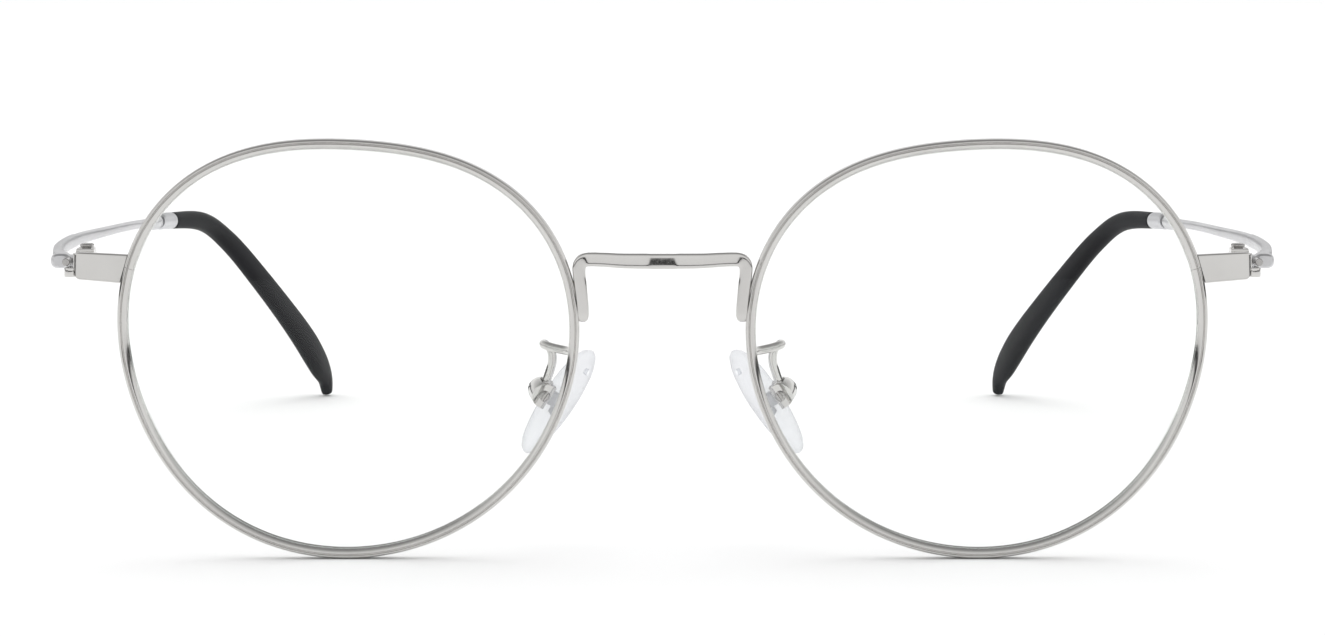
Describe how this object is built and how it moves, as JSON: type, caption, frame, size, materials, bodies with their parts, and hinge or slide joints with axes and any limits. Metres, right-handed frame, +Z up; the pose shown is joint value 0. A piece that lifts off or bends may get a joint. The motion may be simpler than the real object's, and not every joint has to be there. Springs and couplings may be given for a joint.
{
  "type": "round wire eyeglasses",
  "caption": "Round thin metal eyeglasses with clear lenses, a slim bridge, folding strip temples with moulded ear tips, and rocking clear nose pads.",
  "frame": {"origin": "centre of the bounding box in X and Y, on the surface that the open glasses stand on", "axes": "+X to the wearer's left, +Y from the front of the rims back along the temples, +Z up"},
  "size_m": [0.1452, 0.1368, 0.0468],
  "materials": {
    "polished_silver": "polished silver-coloured plating",
    "satin_silver": "pale satin silver",
    "frosted_silver": "frosted",
    "screw_steel": "bright screw steel",
    "charcoal_plastic": "satin charcoal plastic",
    "clear_lens": "clear optical plastic with a polished surface",
    "clear_silicone": "clear soft silicone"
  },
  "bodies": {
    "front": {"left_rim": "polished_silver", "right_rim": "polished_silver", "left_lens": "clear_lens", "right_lens": "clear_lens", "left_end_piece": "polished_silver", "right_end_piece": "polished_silver", "left_closing_block_lower": "polished_silver", "right_closing_block_lower": "polished_silver", "left_closing_block_upper": "polished_silver", "right_closing_block_upper": "polished_silver", "left_closing_screw": "screw_steel", "right_closing_screw": "screw_steel", "left_hinge_block": "polished_silver", "right_hinge_block": "polished_silver", "left_hinge_screw": "screw_steel", "right_hinge_screw": "screw_steel", "left_pad_arm": "polished_silver", "right_pad_arm": "polished_silver", "left_pad_box": "polished_silver", "right_pad_box": "polished_silver", "left_pad_screw": "screw_steel", "right_pad_screw": "screw_steel", "bridge": "polished_silver"},
    "left_temple": {"left_temple_hinge": "polished_silver", "left_temple_pin": "screw_steel", "left_temple_wire": "satin_silver", "left_temple_collar": "satin_silver", "left_temple_ferrule": "frosted_silver", "left_temple_tip": "charcoal_plastic"},
    "right_temple": {"right_temple_hinge": "polished_silver", "right_temple_pin": "screw_steel", "right_temple_wire": "satin_silver", "right_temple_collar": "satin_silver", "right_temple_ferrule": "frosted_silver", "right_temple_tip": "charcoal_plastic"},
    "left_nose_pad": {"left_pad_stem": "satin_silver", "left_nose_pad": "clear_silicone"},
    "right_nose_pad": {"right_pad_stem": "satin_silver", "right_nose_pad": "clear_silicone"}
  },
  "joints": [
    {"name": "left_temple_fold", "type": "hinge", "parent": "front", "child": "left_temple", "pos_m": [0.0642, -0.06173, 0.03294], "axis": [0, 0, 1], "range_deg": [0, 83]},
    {"name": "right_temple_fold", "type": "hinge", "parent": "front", "child": "right_temple", "pos_m": [-0.0642, -0.06173, 0.03294], "axis": [0, 0, -1], "range_deg": [0, 79]},
    {"name": "left_pad_rock", "type": "hinge", "parent": "front", "child": "left_nose_pad", "pos_m": [0.01355, -0.05879, 0.01767], "axis": [0.216, 0.955, 0.2032], "range_deg": [-12, 12]},
    {"name": "right_pad_rock", "type": "hinge", "parent": "front", "child": "right_nose_pad", "pos_m": [-0.01355, -0.05879, 0.01767], "axis": [-0.216, 0.955, 0.2032], "range_deg": [-12, 12]}
  ]
}
